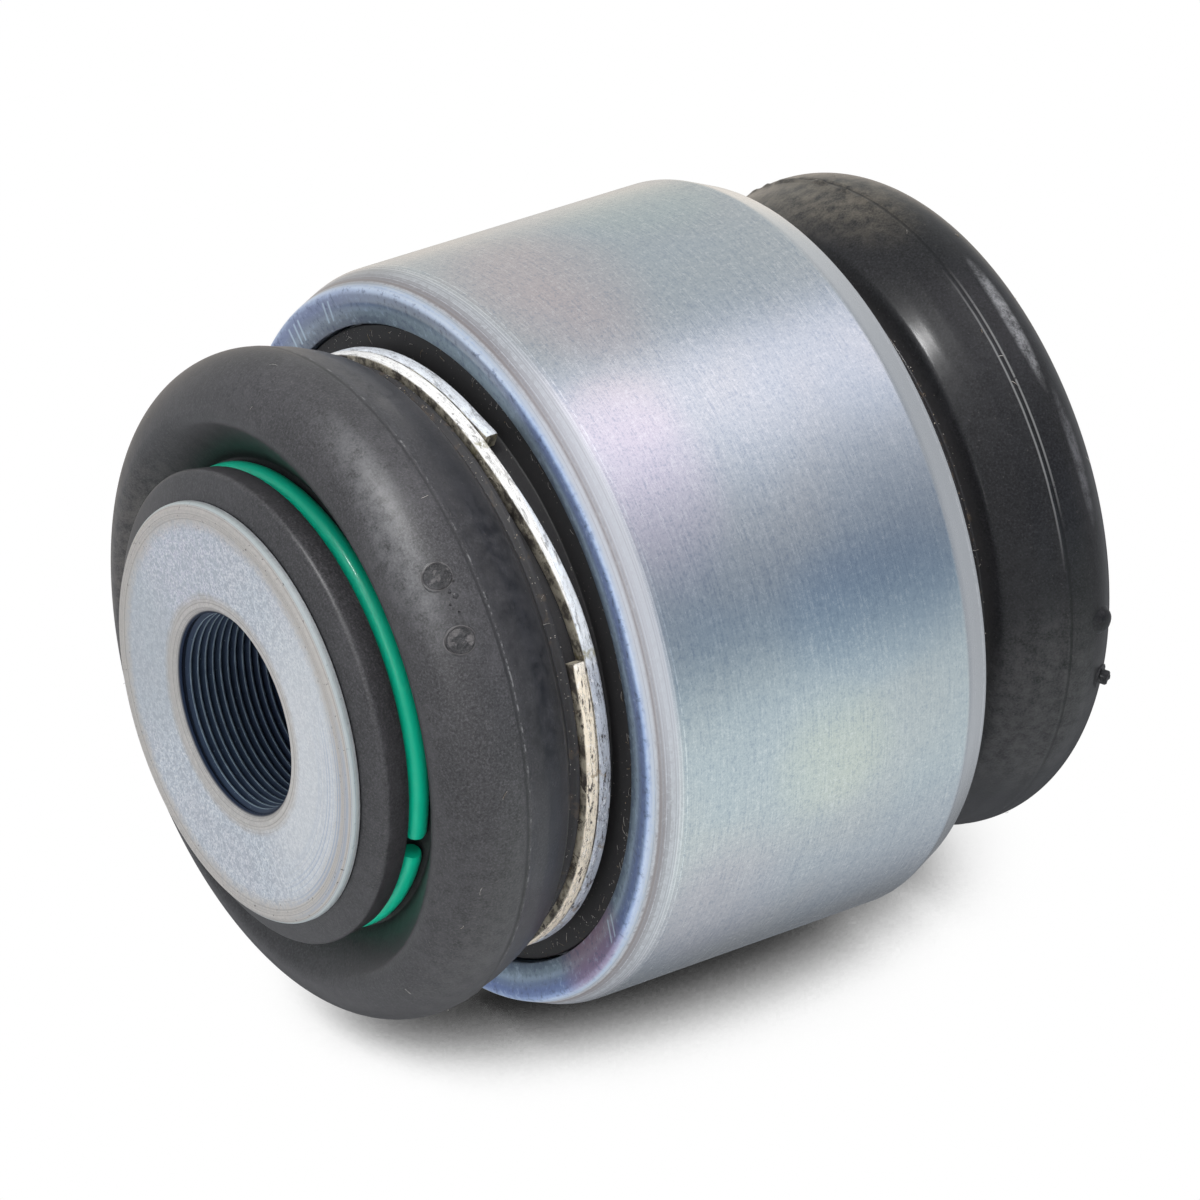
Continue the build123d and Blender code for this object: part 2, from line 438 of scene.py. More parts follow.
class BUSH_OT_stage(bpy.types.Operator):
    """Sets the camera, the pale floor with its wall, and the soft studio light"""

    bl_idname = "bush.stage"
    bl_label = "Studio"

    def execute(self, context):
        settings = context.scene.bush_stage
        scene = context.scene
        lens = bpy.data.cameras.new("camera")
        lens.lens = settings.lens
        lens.sensor_width = 36.0
        lens.clip_start = 0.01
        camera = bpy.data.objects.new("camera", lens)
        right = Vector((-0.23592, -0.50859, -0.82806))
        up = Vector((0.96173, 0.0, -0.27401))
        back = Vector((0.13936, -0.86101, 0.48912))
        place = Matrix((right, up, back)).transposed().to_4x4()
        place.translation = Vector((76.584, -475.52, 270.812)) * MM
        camera.matrix_world = place
        scene.collection.objects.link(camera)
        scene.camera = camera
        scene.view_settings.view_transform = "Standard"
        self.floor(settings)
        self.lights(settings)
        self.surroundings(scene)
        return {"FINISHED"}

    def floor(self, settings):
        """A sheet of paper under the sleeve's end that sweeps up into a wall just behind the housing.

        The camera sees it white, with a painted shadow where the joint comes close to the part of the wall below it."""
        wall = Vector((0.907, -0.421, 0.0)).normalized()
        along = Vector((-wall.y, wall.x, 0.0))
        sweep = 10.0
        gap = 22.03
        low = -25.75
        reach = 1500.0
        section = [(reach, low)]
        section += arc((sweep - gap, low + sweep), sweep, -90, -180, 24)
        section.append((-gap, reach))
        points = []
        for side in (-reach, reach):
            points += [wall * out + along * side + Vector((0, 0, up)) for out, up in section]
        count = len(section)
        faces = [(i, i + 1, count + i + 1, count + i) for i in range(count - 1)]
        mesh = bpy.data.meshes.new("floor")
        mesh.from_pydata([point * MM for point in points], [], faces)
        mesh.shade_smooth()
        floor = bpy.data.objects.new("floor", mesh)
        bpy.context.scene.collection.objects.link(floor)
        if floor.data.polygons[0].normal.z < 0:
            mesh.flip_normals()
        paper = bpy.data.materials.new("paper")
        paper.use_nodes = True
        graph = Graph(paper.node_tree)
        # Painted shadow: the greys that the camera sees follow how much open sky each point of the paper has past the
        # joint.
        open_sky = graph.add("AmbientOcclusion", {"samples": 24}, {"Distance": 0.2}, "AO")
        greys = [(0.05, 0.012), (0.12, 0.022), (0.145, 0.045), (0.17, 0.14), (0.20, 0.24), (0.25, 0.43)]
        greys += [(0.30, 0.82), (0.35, 0.96), (0.40, 1.0)]
        shade = graph.ramp(open_sky, [(share, (grey,) * 3) for share, grey in greys], "LINEAR")
        x = graph.add("SeparateXYZ", {}, {0: graph.add("TexCoord", {}, {}, "Object")})
        # Millimetres along the wall away from the camera, and up. The painted shadow is worked out only near the joint.
        out = x * (along.x / MM) + x.output("Y") * (along.y / MM)
        up = x.output("Z") / MM
        clear = graph.most(
            graph.ease(out, -4.0, 10.0),
            graph.ease(out, -19.0, -27.0),
            graph.ease(up, -17.0, -24.0),
            graph.ease(up, 34.0, 44.0),
        )
        shaded = graph.add("Emission", {}, {"Color": shade, "Strength": settings.exposure})
        white = graph.add("Emission", {}, {"Color": (1.0, 1.0, 1.0, 1.0), "Strength": settings.exposure})
        lit = graph.add("MixShader", {}, {0: clear, 1: shaded, 2: white})
        sheet = graph.add("BsdfDiffuse", {}, {"Color": (*settings.floor, 1.0)})
        seen = graph.add("LightPath", {}, {}, "Is Camera Ray")
        sheet = graph.add("MixShader", {}, {0: seen, 1: sheet, 2: lit})
        gone = graph.add("BsdfTransparent", {}, {})
        behind = graph.add("NewGeometry", {}, {}, "Backfacing")
        graph.add("OutputMaterial", {}, {"Surface": graph.add("MixShader", {}, {0: behind, 1: sheet, 2: gone})})
        mesh.materials.append(paper)
        floor.visible_glossy = False
        floor.visible_shadow = False

    def lights(self, settings):
        """A broad key, with a small glint and a long strip that only glossy rubber and paint show."""
        glossy = bpy.data.collections.new(GLOSSY)
        for name, power, width, depth, away, aim in (
            ("key", settings.key, 0.34, 0.34, 0.45, Vector((0.69, -0.72, 0.06))),
            ("glint", settings.glint, 0.10, 0.10, 0.60, Vector((0.786, -0.491, 0.375))),
            ("strip", 0.32 * settings.glint, 0.42, 0.05, 0.60, Vector((0.26, -0.59, 0.76))),
        ):
            light = bpy.data.lights.new(name, "AREA")
            light.shape = "ELLIPSE" if width == depth else "RECTANGLE"
            light.size = width
            light.size_y = depth
            light.energy = power
            lamp = bpy.data.objects.new(name, light)
            lamp.location = aim.normalized() * away
            lamp.rotation_mode = "QUATERNION"
            lamp.rotation_quaternion = aim.to_track_quat("Z", "Y")
            lamp.visible_camera = False
            lamp.visible_glossy = name != "key"
            lamp.visible_diffuse = name == "key"
            if name != "key":
                lamp.light_linking.receiver_collection = glossy
            bpy.context.scene.collection.objects.link(lamp)

    def surroundings(self, scene):
        """A soft room: light panels and dark gaps that the steel reflects, and plain white for the camera."""
        world = bpy.data.worlds.new("studio")
        world.use_nodes = True
        scene.world = world
        graph = Graph(world.node_tree)
        where = graph.add("TexCoord", {}, {}, "Generated")
        x = graph.add("SeparateXYZ", {}, {0: where})
        turn = graph.maths("ARCTAN2", x.output("Y"), x) / (2 * pi) + 0.5
        panels = (
            (-180.0, (0.70, 0.76, 0.76)), (-171.0, (0.76, 0.83, 0.82)), (-135.0, (0.76, 0.83, 0.82)),
            (-123.0, (0.62, 0.70, 0.71)), (-111.0, (0.31, 0.39, 0.46)), (-99.0, (0.24, 0.30, 0.38)),
            (-87.0, (0.33, 0.37, 0.43)), (-75.0, (0.46, 0.49, 0.54)), (-63.0, (0.63, 0.66, 0.71)),
            (-52.0, (0.88, 0.90, 0.98)), (-45.0, (1.16, 1.14, 1.22)), (-20.0, (1.20, 1.17, 1.26)),
            (-14.0, (0.50, 0.54, 0.58)), (-3.0, (0.52, 0.56, 0.58)), (9.0, (0.62, 0.64, 0.64)),
            (57.0, (0.62, 0.64, 0.63)), (69.0, (0.76, 0.72, 0.66)), (81.0, (1.06, 0.95, 0.84)),
            (92.0, (0.50, 0.46, 0.42)), (100.0, (0.10, 0.10, 0.11)), (115.0, (0.11, 0.11, 0.12)),
            (129.0, (0.20, 0.21, 0.22)), (141.0, (0.31, 0.32, 0.35)), (153.0, (0.49, 0.51, 0.54)),
            (165.0, (0.62, 0.65, 0.67)),
        )
        ring = graph.ramp(turn, [(side / 360 + 0.5, light) for side, light in panels], "LINEAR")
        above = graph.ease(x.output("Z"), -0.30, 0.30)
        below = graph.ease(x.output("Z"), -0.66, -0.88)
        room = graph.colours(below, graph.colours(above, ring, (0.68, 0.70, 0.73)), (0.46, 0.47, 0.49))
        seen = graph.add("LightPath", {}, {}, "Is Camera Ray")
        shown = graph.colours(seen, room, (1.0, 1.0, 1.0))
        light = graph.add("Background", {}, {"Color": shown, "Strength": 1.0})
        graph.add("OutputWorld", {}, {"Surface": light})


class BUSH_OT_sleeve(bpy.types.Operator):
    """Builds the ball sleeve and the thread in its bore"""

    bl_idname = "bush.sleeve"
    bl_label = "Ball sleeve"

    def execute(self, context):
        settings = context.scene.bush_sleeve
        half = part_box("ball_sleeve")[1].z / MM
        neck = settings.neck / MM
        root = settings.root / MM
        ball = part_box("ball_sleeve")[1].x / MM
        start = degrees(acos(neck / ball))
        front = [
            (12.42, half - 0.72, 0.1), (12.42, half - 0.3, 0.2), (12.05, half, 0.12), (11.62, half, 0.08),
            (11.5, half - 0.05, 0.08), (6.62, half - 0.05, 0.06), (6.5, half, 0.05), (6.36, half, 0.08),
            (5.86, half - 0.42, 0.06), (root, half - 0.52, 0.05),
        ]
        rear = [(r, -z, rounding) for r, z, rounding in reversed(front)]
        ball_side = [(r, z, 0.0) for r, z in arc((0, 0), ball, -start, start, 40)]
        ball_side[0] = (neck, ball_side[0][1], 0.9)
        ball_side[-1] = (neck, ball_side[-1][1], 0.9)
        outline = [*rear, (neck, -half + 0.72, 0.1), *ball_side, (neck, half - 0.72, 0.1), *front]
        sleeve = turned("sleeve", eased(outline), 288)
        dressed(sleeve, "sleeve", self.steel(settings, half), "sleeve_steel", "ball_sleeve")
        thread = self.thread(settings, half)
        dressed(thread, "sleeve", self.bore_steel(settings, half), "sleeve_steel")
        return {"FINISHED"}

    def thread(self, settings, half):
        """One right-hand ridge with narrow crests, running through the whole bore."""
        pitch = settings.pitch / MM
        crest = settings.crest / MM
        root = settings.root / MM
        sunk = root + 0.05
        foot = root - 0.02
        profile = [(sunk, -0.46), (foot, -0.44), (crest, -0.07), (crest, 0.07), (foot, 0.44), (sunk, 0.46)]
        steps = 72
        end_gap = 0.5
        start = end_gap - half
        turns = 2 * (half - end_gap) / pitch
        sections = []
        for index in range(int(turns * steps) + 1):
            turn = index / steps
            fade = min(1.0, 2 * turn, 2 * (turns - turn))
            section = []
            for radius, rise in profile:
                radius = sunk + (radius - sunk) * max(fade, 0.02)
                section.append(around(360 * turn, radius, start + pitch * (turn + rise)))
            sections.append(section)
        return swept("bore_thread", sections, 20.0)

    def steel(self, settings, half):
        """Plated steel: a pale grained face with tan edges and fine turning lines, and a dark blue bore."""
        finish = Finish("sleeve plating")
        ease, spot, noise, turning, most = finish.ease, finish.spot, finish.noise, finish.turning, finish.most
        grain = noise(6.5, 2.0, 0.7)
        crystals = noise(2.6, 3.0, 0.6, start=(7.0, 3.0, 0.0))
        cloud = noise(0.30, 3.0, 0.6)
        rings = turning(9.0)
        fine = turning(16.0, 4.0)
        end = ease(finish.height, half - 0.9, half - 0.3)
        wander = (cloud - 0.5) * 0.5
        outer = ease(finish.radius + wander + (crystals - 0.5) * 0.9, 10.6, 11.7)
        inner = ease(finish.radius + wander + (crystals - 0.5) * 0.4, 7.3, 6.6)
        turned_part = spot(-130.0, half, 50.0, 60.0) * ease(finish.radius, 8.5, 10.5)
        pits = ease(noise(4.0, 2.0, 0.6, start=(0.0, 11.0, 0.0)), 0.66, 0.72) * outer * end
        shade = finish.layers(
            settings.steel,
            (ease(cloud, 0.38, 0.62), (0.66, 0.68, 0.73)),
            (spot(8.0, half, 40.0, 60.0) * ease(crystals, 0.3, 0.7) * 0.5, (0.60, 0.57, 0.68)),
            (ease(grain, 0.48, 0.64) * 0.7, (0.92, 0.93, 0.93)),
            (ease(grain, 0.48, 0.33) * 0.65, (0.34, 0.39, 0.46)),
            (ease(crystals, 0.55, 0.38) * 0.55, (0.42, 0.46, 0.52)),
            (spot(66.0, half, 42.0, 60.0) * 0.5, (0.50, 0.54, 0.57)),
            (spot(-115.0, half, 75.0, 60.0) * 0.6, (0.84, 0.85, 0.85)),
            (most(outer, inner * 0.9) * end * 0.75, settings.rim),
            (ease(fine, 0.55, 0.62) * most(outer, inner) * end * 0.6, (0.25, 0.22, 0.21)),
            (ease(rings, 0.5, 0.60) * turned_part * 0.55, (0.36, 0.45, 0.60)),
            (pits * 0.8, (0.10, 0.09, 0.09)),
            (ease(finish.radius, 12.25, 12.36) * end * 0.6, (0.62, 0.72, 0.74)),
            (ease(finish.radius, 6.14, 5.98), settings.bore),
        )
        roughness = 0.40 + grain * 0.14 + fine * 0.05
        relief = grain * 0.030 + crystals * 0.020 + fine * 0.010
        return finish.close(shade, roughness, 0.85, relief)

    def bore_steel(self, settings, half):
        """The thread: dark blue flanks and thin pale crests, worn and with a painted highlight."""
        finish = Finish("bore thread")
        crest = settings.crest / MM
        patch = finish.noise(1.1, 3.0, 0.6)
        deep_in = finish.ease(finish.height, half - 3.0, half - 11.0)
        # Pale crests: worn metal, and a painted highlight where the light falls on the crests.
        worn = finish.ease(finish.radius, crest + 0.030, crest + 0.008)
        shade = finish.layers(
            settings.bore,
            (patch, (0.035, 0.060, 0.105)),
            (deep_in * 0.8, (0.045, 0.060, 0.15)),
            (worn * (0.15 + patch * 0.8), (0.42, 0.54, 0.62)),
            (finish.ease(finish.noise(7.0, 2.0, 0.6), 0.70, 0.76) * 0.5, (0.45, 0.60, 0.68)),
        )
        return finish.close(shade, 0.42, 0.6)


class BUSH_OT_housing(bpy.types.Operator):
    """Builds the housing, and finishes the closing ring and the ball seat inside it"""

    bl_idname = "bush.housing"
    bl_label = "Housing"

    def execute(self, context):
        settings = context.scene.bush_housing
        edge = settings.radius / MM
        outline = [
            (edge, -9.77, 0.8), (edge, 9.8, 2.0), (21.2, 11.8, 0.45), (19.0, 11.35, 0.1), (19.0, 10.35, 0.1),
            (20.2, 9.15, 0.0), (20.2, 8.22, 0.0), (19.2, 8.22, 0.0), (19.2, -8.42, 0.0), (14.69, -8.42, 0.0),
            (14.69, -14.02, 0.2), (15.89, -14.02, 0.2), (15.89, -10.32, 0.0), (19.0, -10.32, 0.0), (19.0, -11.62, 0.15),
            (21.2, -11.62, 0.25),
        ]
        housing = turned("housing_body", eased(outline, 6), 320)
        dressed(housing, "housing", self.steel(settings), "housing_steel", "housing")
        ring = Finish("closing ring steel")
        marks = ring.turning(6.0)
        grey = ring.colours(marks, (0.36, 0.37, 0.39), (0.48, 0.49, 0.51))
        ring.close(grey, 0.3 + marks * 0.15, 1.0, marks * 0.01)
        seat = Finish("seat plastic")
        flow = seat.noise(0.5, 3.0)
        seat.close(seat.colours(flow, (0.72, 0.70, 0.63), (0.80, 0.78, 0.72)), 0.42 + flow * 0.1)
        for node, finish in (("closing_ring", ring), ("ball_seat", seat)):
            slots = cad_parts[node].data.materials
            slots.clear()
            slots.append(finish.material)
        return {"FINISHED"}

    def steel(self, settings):
        """Plated and brushed steel with clouds of tint, a pale turned rim, and a blue front lip."""
        finish = Finish("housing plating")
        ease, spot, band, most = finish.ease, finish.spot, finish.band, finish.most
        noise, turning = finish.noise, finish.turning
        brushing = noise(1.0, 3.0, 0.65, (0.30, 0.30, 11.0))
        crossing = noise(1.0, 2.0, 0.5, (3.4, 3.4, 0.7), (3.0, 0.0, 0.0))
        spangle = noise(2.4, 3.0, 0.7, (1.0, 1.0, 1.8))
        cloud = noise(0.10, 2.0, 0.5)
        grain = noise(8.0, 2.0, 0.6)
        tints = [
            (-27.0, 5.0, 24.0, 6.5, 0.60, (0.76, 0.63, 0.64)),
            (-12.0, -5.0, 16.0, 6.0, 0.45, (0.62, 0.74, 0.72)),
            (-56.0, 7.0, 9.0, 5.0, 0.50, (0.82, 0.74, 0.76)),
            (-68.0, 8.0, 20.0, 6.0, 0.55, (0.76, 0.69, 0.80)),
            (-95.0, -4.0, 13.0, 8.0, 0.55, (0.40, 0.50, 0.64)),
            (-116.0, -0.5, 13.0, 5.0, 0.50, (0.76, 0.78, 0.68)),
            (-30.0, -3.0, 22.0, 9.0, 0.35, (0.50, 0.58, 0.64)),
            (-140.0, 6.0, 20.0, 6.0, 0.40, (0.70, 0.66, 0.72)),
            (60.0, 2.0, 40.0, 9.0, 0.35, (0.70, 0.66, 0.74)),
            (150.0, -3.0, 40.0, 8.0, 0.35, (0.62, 0.72, 0.70)),
        ]
        texture = (brushing - 0.5) * 0.6 + (crossing - 0.5) * 0.2 + (spangle - 0.5) * 0.7 + (grain - 0.5) * 0.7
        dark_grain = ease(texture, 0.02, -0.24)
        pale_grain = ease(texture, 0.02, 0.24)
        taper = ease(finish.z, -9.5, -10.3)
        shaded_rear = ease(finish.z, 1.0, -8.0) * spot(-92.0, -5.0, 50.0, 90.0)
        ends = most(band(finish.z, 9.45, 10.2, 0.1), band(finish.z, -11.3, -10.2, 0.1))
        scored = ends * ease(turning(5.5, 2.0), 0.53, 0.60) * ease(spangle, 0.35, 0.60)
        plain = finish.layers(
            settings.steel,
            (ease(cloud, 0.35, 0.65), (0.66, 0.68, 0.70)),
            *((spot(*place) * (share + (cloud - 0.5) * 0.8), tint) for *place, share, tint in tints),
            (dark_grain * 0.50, (0.34, 0.40, 0.50)),
            (pale_grain * 0.45, (0.94, 0.94, 0.96)),
            (taper * 0.9, (0.95, 0.97, 0.98)),
            (shaded_rear * 0.30, (0.36, 0.40, 0.46)),
            (scored * 0.7, (0.95, 0.97, 1.0)),
        )
        lip, on_face = self.lip(finish, settings, cloud, spangle, pale_grain)
        shade = finish.colours(ease(finish.z, 9.6, 10.0), plain, lip)
        roughness = 0.20 + brushing * 0.06 + spangle * 0.06 + ease(finish.z, 9.8, 10.8) * 0.22
        relief = (brushing * 0.010 + crossing * 0.002) * (2 * settings.brushing) + grain * 0.002
        metallic = 1 - on_face * ease(finish.z, 10.6, 11.2) * 0.4
        return finish.close(shade, roughness, metallic, relief, Anisotropic=0.5)

    def lip(self, finish, settings, cloud, spangle, pale_grain):
        """The rolled lip: blue and violet on its flat face, pale and turned where it rounds off to the side.

        run is the way in millimetres from the lip's inner edge out over its face and down its side. Returns the
        lip's colour and where the flat face is."""
        ease, spot, band, turning = finish.ease, finish.spot, finish.band, finish.turning
        streaks = turning(3.0, 6.0)
        thin = turning(8.0, 1.0)
        run = finish.radius - 19.0 + (11.8 - finish.z) * 0.9
        on_face = ease(run, 2.6, 2.2)
        off_face = ease(run, 2.3, 2.9)
        uneven = off_face * ease(spangle, 0.30, 0.55)
        brown = band(run, 3.15, 3.45, 0.2) * ease(streaks, 0.40, 0.55)
        wander = (cloud - 0.5) * 0.5 + (spangle - 0.5) * 0.3 + (streaks - 0.5) * off_face * 2.0
        lip = finish.ramp(
            (run + wander) / 5.0,
            [
                (0.07, (0.09, 0.12, 0.15)), (0.12, (0.18, 0.24, 0.31)), (0.19, (0.29, 0.38, 0.47)),
                (0.23, (0.38, 0.49, 0.61)), (0.29, (0.23, 0.31, 0.49)), (0.35, settings.lip),
                (0.39, (0.26, 0.35, 0.60)), (0.43, (0.38, 0.50, 0.76)), (0.51, (0.72, 0.82, 0.98)),
                (0.57, (0.66, 0.71, 0.78)), (0.635, (0.53, 0.52, 0.54)), (0.70, (0.51, 0.49, 0.51)),
                (0.80, (0.59, 0.59, 0.61)), (0.96, (0.69, 0.71, 0.74)),
            ],
        )
        strokes = []
        for angle in (24.5, 22.3, 20.6, 10.8, 9.0, -144.2, -146.0):
            lean = finish.angle + (finish.radius - 20.1) * 1.1
            stroke = band(lean, angle - 0.18, angle + 0.18, 0.2) * band(finish.radius, 19.6, 20.7, 0.1)
            strokes.append((stroke * on_face * 0.7, (0.72, 0.86, 0.96)))
        for height in (9.64, 9.82, 10.02):
            line = band(finish.z, height - 0.015, height + 0.015, 0.035)
            strokes.append((line * ease(cloud, 0.30, 0.50) * 0.55, (0.98, 0.98, 1.0)))

        def along(angle, width):
            return spot(angle, 11.5, width, 9.0)

        lip = finish.layers(
            lip,
            (along(-78.0, 42.0) * off_face * 0.85, (0.88, 0.88, 0.92)),
            (pale_grain * off_face * 0.4, (0.92, 0.94, 0.97)),
            (ease(thin, 0.50, 0.60) * uneven * 0.55, (0.94, 0.96, 1.00)),
            (ease(thin, 0.48, 0.38) * uneven * 0.50, (0.40, 0.38, 0.41)),
            (along(4.0, 16.0) * off_face * 0.5, (0.44, 0.44, 0.46)),
            (brown * 0.4, (0.40, 0.33, 0.30)),
            (along(-154.0, 14.0) * on_face * 0.65, (0.38, 0.22, 0.30)),
            (along(-32.0, 30.0) * ease(run, 2.1, 1.4) * 0.7, (0.27, 0.35, 0.40)),
            (along(-20.0, 34.0) * band(run, 1.6, 2.4, 0.2) * 0.6, (0.70, 0.76, 0.82)),
            (along(20.0, 25.0) * on_face * 0.4, (0.46, 0.47, 0.54)),
            (ease(spangle, 0.54, 0.70) * on_face * 0.35, (0.64, 0.78, 0.92)),
            (ease(spangle, 0.46, 0.34) * on_face * 0.5, (0.12, 0.15, 0.26)),
            *strokes,
        )
        return lip, on_face


class BUSH_OT_boots(bpy.types.Operator):
    """Builds both rubber boots with their moulding marks, dirt and lint"""

    bl_idname = "bush.boots"
    bl_label = "Boots"

    def execute(self, context):
        settings = context.scene.bush_boots
        self.centre = (15.987, 19.445)
        self.radius = settings.bulge / MM
        fluff = self.fluff()
        bend_start = 13.0 * MM
        bend_end = 19.6 * MM
        pips = ((-70.0, 20.75), (-81.0, 20.80))
        front = turned("boot_front", self.profile(settings), 360, self.flash(3, [(-135.0, 30.0, 0.05)]))
        self.add_marks(front, [*(self.pip(angle) for angle, level in pips), *self.scabs()], 0)
        self.add_marks(front, [self.lint(11), self.crumbs(12)], 1)
        seams = ((0.0, 0.52, 0.0, 400.0),)
        patches = (
            # Painted light: a pale warm patch where the light falls on the top of the bulge.
            (62.0, 20.5, 45.0, 5.0, 1.00, (0.130, 0.118, 0.110)),
            (-18.0, 17.2, 30.0, 1.6, 0.55, (0.085, 0.080, 0.078)),
            # Painted shade: the flank below the parting line, darkened where it turns from the light.
            (-80.0, 16.6, 50.0, 2.6, 1.00, (0.002, 0.002, 0.003)),
            # Painted highlights: two pale patches of sheen along the crest of the bulge.
            (-46.0, 21.3, 16.0, 1.3, 0.60, (0.10, 0.10, 0.105)),
            (-64.0, 21.9, 20.0, 1.2, 0.80, (0.12, 0.12, 0.125)),
            # Painted light: a paler patch on the lower side of the bulge.
            (-150.0, 20.0, 40.0, 3.0, 0.50, (0.075, 0.073, 0.072)),
        )
        grey = self.rubber("front boot rubber", settings.rubber, 0.38, settings.dustiness, seams, pips, patches)
        dressed(front, ((0, 0, bend_start), (0, 0, bend_end)), grey, "boot_rubber", "front_boot")
        front.data.materials.append(fluff)
        rear = turned("boot_rear", self.profile(settings), 360, self.flash(8, [(6.0, 20.0, 0.17), (60.0, 60.0, 0.03)]))
        self.add_marks(rear, [self.dome(113.5), self.sprue(126.0)], 0)
        self.add_marks(rear, [self.lint(21), self.crumbs(22)], 1)
        turned_over(rear)
        seams = ((-0.04, 0.28, -74.0, 30.0), (0.30, 0.32, -70.0, 26.0))
        patches = (
            (-4.0, -18.2, 36.0, 4.5, 1.00, (0.110, 0.096, 0.076)),
            # Painted highlights: two pale streaks of rim light beyond the parting line.
            (-58.0, -20.4, 15.0, 0.6, 1.00, (0.24, 0.24, 0.25)),
            (-84.0, -21.0, 14.0, 0.5, 0.60, (0.14, 0.14, 0.15)),
            # Painted light: a greyer patch on the lower side of the boot.
            (-130.0, -17.5, 26.0, 5.0, 1.00, (0.045, 0.044, 0.045)),
        )
        black = self.rubber("rear boot rubber", settings.rear_rubber, 0.32, 0.3, seams, (), patches, 0.6)
        dressed(rear, ((0, 0, -bend_start), (0, 0, -bend_end)), black, "boot_rubber", "rear_boot")
        rear.data.materials.append(fluff)
        return {"FINISHED"}

    def profile(self, settings):
        """Flange, wire groove, shoulder, bulge and collar, then back along the inside."""
        wall = settings.wall / MM
        corners = [
            (15.92, 10.35, 0.0), (18.9, 10.35, 0.1), (18.9, 11.05, 0.12), (16.69, 11.05, 0.1), (16.69, 13.66, 0.1),
            (17.44, 13.66, 0.12), (17.44, 13.96, 0.12), (17.19, 14.26, 0.12), (18.29, 15.01, 0.9), (18.78, 15.96, 0.0),
            (19.21, 16.98, 0.0),
            *((r, z, 0.0) for r, z in arc(self.centre, self.radius, -22, 71.6, 56)),
            *((r, z, 0.0) for r, z in arc((16.866, 22.088), 1.0, 74.0, 127.1, 10)),
            (13.85, 21.06, 0.25), (12.44, 21.06, 0.1), (12.44, 22.44, 0.1), (13.75, 22.65, 0.2), (14.04, 24.35, 0.35),
            (12.39, 24.97, 0.12), (11.25, 24.97, 0.1), (11.25, 19.76, 0.3), (13.85, 19.76, 0.3),
            *((r, z, 0.0) for r, z in arc(self.centre, self.radius - wall, 80, -22, 28)),
            (16.99, 15.01, 0.4), (15.92, 14.02, 0.2),
        ]
        return close_set(eased(corners, 5), 0.3)

    def flash(self, seed, torn):
        """Raises an uneven line of flash beside a fine groove at the mould's parting line.

        torn lists the angles where the flash is thicker, each with a width in degrees and a height."""
        rng = np.random.default_rng(seed)
        waves = [(k, rng.uniform(0, 2 * pi), rng.uniform(0.2, 1.0) / k**0.3) for k in range(3, 90)]
        lumps = [(k, rng.uniform(0, 2 * pi), 0.03 / k) for k in range(2, 7)]
        groove_height = PARTING + 0.22

        def shape(angles, radii, heights):
            ragged = np.clip(0.35 + 0.45 * sum(a * np.sin(k * angles + p) for k, p, a in waves), 0.0, 1.6)
            thick = 0.025
            for angle, width, height in torn:
                off = np.degrees(np.angle(np.exp(1j * (angles - radians(angle)))))
                thick = thick + height * np.exp(-((off / width) ** 2))
            outside = (radii > 19) * (heights < 20)
            line = np.exp(-(((heights - PARTING) / 0.07) ** 2)) * outside
            groove = np.exp(-(((heights - groove_height) / 0.06) ** 2)) * outside
            swell = sum(a * np.sin(k * angles + p) for k, p, a in lumps)
            moved = ragged * thick * line - (0.02 + 0.6 * thick) * groove
            return radii + moved + swell * (radii > 16.9) * (heights > 15.5) * (heights < 23.4), heights

        return shape

    def on_bulge(self, angle, lean):
        """A place on the bulge with its outward, sideways and upward directions, lean degrees above the equator."""
        turn = Matrix.Rotation(radians(angle), 3, "Z")
        out = Vector((cos(radians(lean)), 0.0, sin(radians(lean))))
        spot = Vector((self.centre[0], 0.0, self.centre[1])) + out * self.radius
        side = Vector((0.0, 1.0, 0.0))
        return turn @ spot, turn @ out, turn @ side, turn @ out.cross(side)

    def knob(self, name, place, rings, seed, roughness=0.0, rough_from=0, steps=36):
        """A small closed lump on the rubber, from rings of (radius, rise)."""
        rng = np.random.default_rng(seed)
        spot, out, side, up = place
        points = []
        for index, (radius, rise) in enumerate(rings):
            for step in range(steps):
                a = 2 * pi * step / steps
                rough = rng.uniform(-roughness, roughness) * (index >= rough_from)
                spread = radius * (1 + 0.04 * sin(3 * a + seed)) + 0.5 * rough
                points.append(spot + side * spread * cos(a) + up * spread * sin(a) + out * (rise + rough))
        points.append(spot + out * rings[-1][1])
        faces = quads(len(rings), steps)
        top = (len(rings) - 1) * steps
        faces += [(top + j, top + (j + 1) % steps, len(points) - 1) for j in range(steps)]
        faces.append(tuple(reversed(range(steps))))
        return piece_from(name, [tuple(p) for p in points], faces, 40.0)

    def pip(self, angle):
        """The round mark of a mould pin: a low ring around a rough middle."""
        rings = [(0.88, -0.12), (0.84, 0.02), (0.74, 0.05), (0.64, -0.01), (0.54, -0.01), (0.42, 0.03), (0.18, 0.03)]
        return self.knob("pip", self.on_bulge(angle, 21.0), rings, int(abs(angle)), 0.012, 3)

    def scabs(self):
        """Small rough specks of flash between the two round marks."""
        spots = [(-74.0, 12.0, 0.17), (-73.0, 15.5, 0.11), (-75.0, 19.0, 0.09), (-76.5, 14.0, 0.08), (-71.5, 9.0, 0.07)]
        rings = [(1.0, -0.05), (0.9, 0.05), (0.5, 0.10)]
        return [
            self.knob("scab", self.on_bulge(angle, lean), [(size * r, h) for r, h in rings], index, 0.04, 1, 8)
            for index, (angle, lean, size) in enumerate(spots)
        ]

